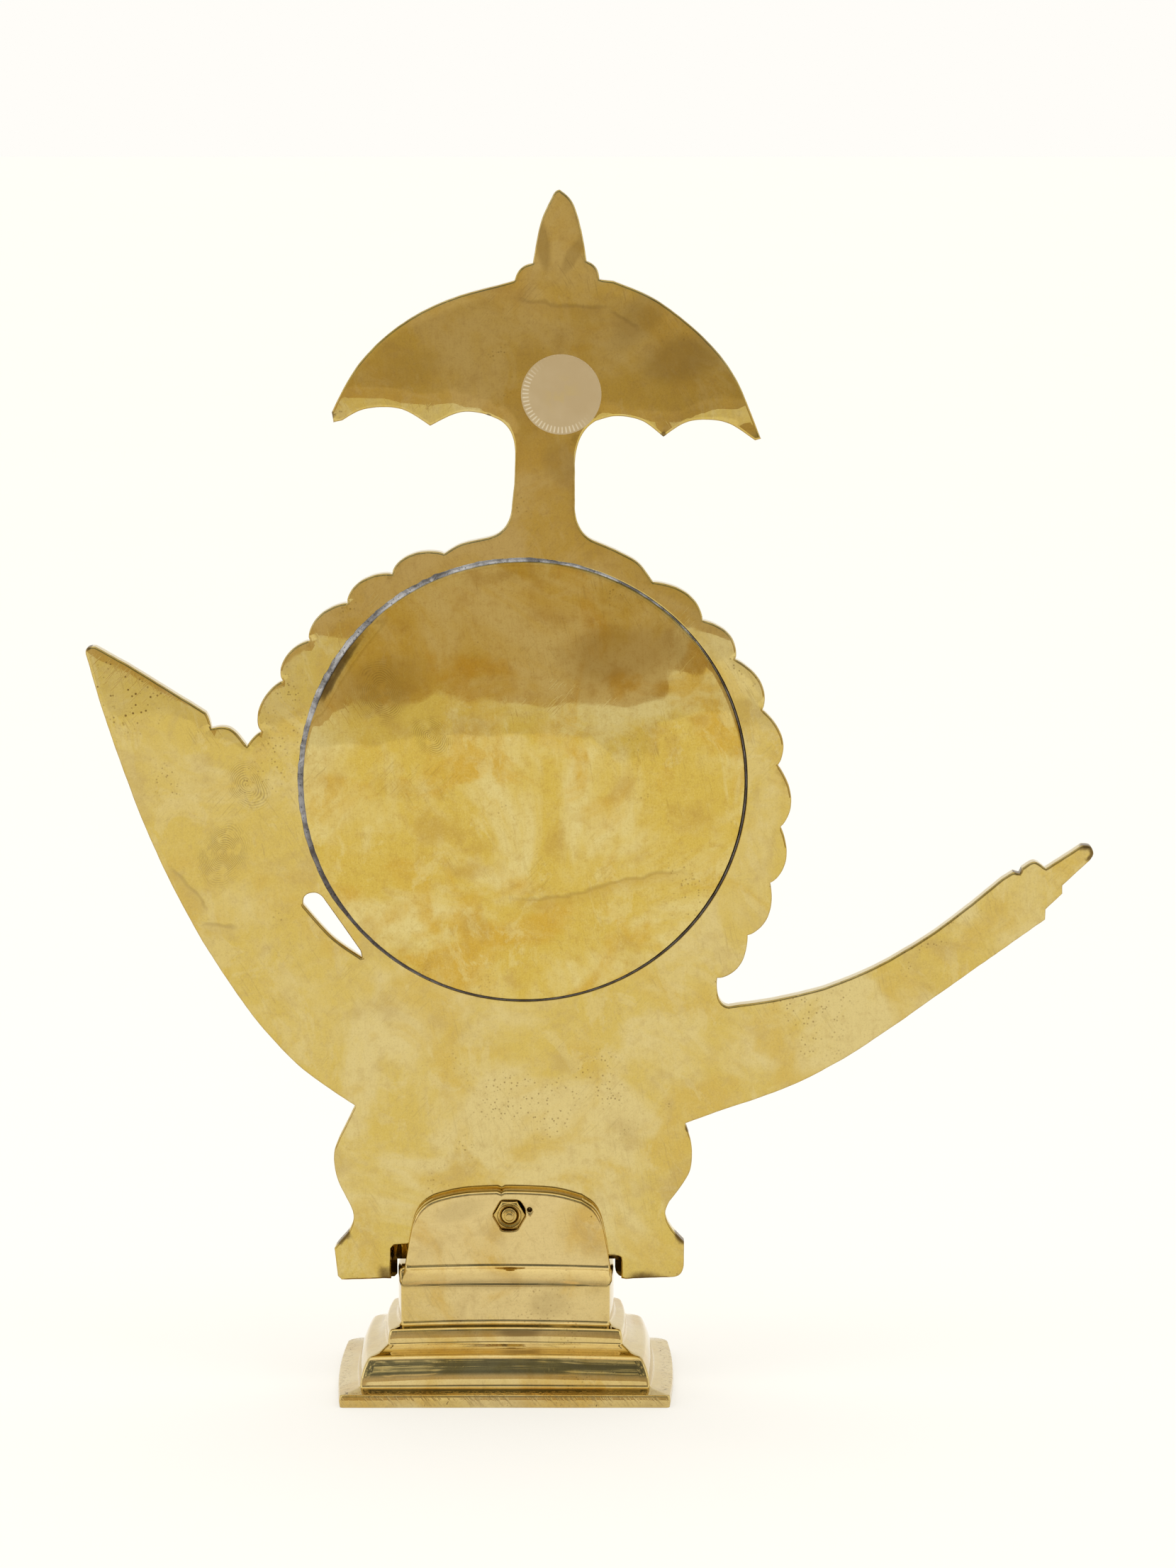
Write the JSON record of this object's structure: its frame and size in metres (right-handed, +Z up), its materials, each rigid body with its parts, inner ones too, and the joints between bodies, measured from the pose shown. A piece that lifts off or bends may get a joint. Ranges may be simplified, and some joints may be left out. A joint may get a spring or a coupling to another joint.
{
  "type": "brass statue",
  "caption": "flat-backed cast brass relief of an umbrella over a petal halo with a horn, an arm and feet, bolted to a stepped pedestal",
  "frame": {"origin": "middle of the bounding box in X and Y, at the pedestal's underside", "axes": "+Z up; the decorated front faces -Y and the plain back faces +Y; +X is the side of the broad horn"},
  "size_m": [0.253, 0.0606, 0.3035],
  "materials": {
    "cast_brass": "buffed cast brass with clouded tarnish, fine pits and file marks",
    "sheet_brass": "buffed sheet brass with finger marks",
    "polished_brass": "mirror polished mouldings with dark streaks in the hollows",
    "turned_brass": "dull turned brass, dark in the thread",
    "solder": "grey soft solder with dark residue",
    "label_film": "translucent beige film with a ring of fine radial lines"
  },
  "bodies": {
    "root": {"relief_casting": "cast_brass", "back_cover_disc": "sheet_brass", "solder_seam": "solder", "pedestal": "polished_brass", "mounting_stud": "turned_brass", "hex_nut": "turned_brass", "round_label": "label_film"}
  },
  "joints": []
}
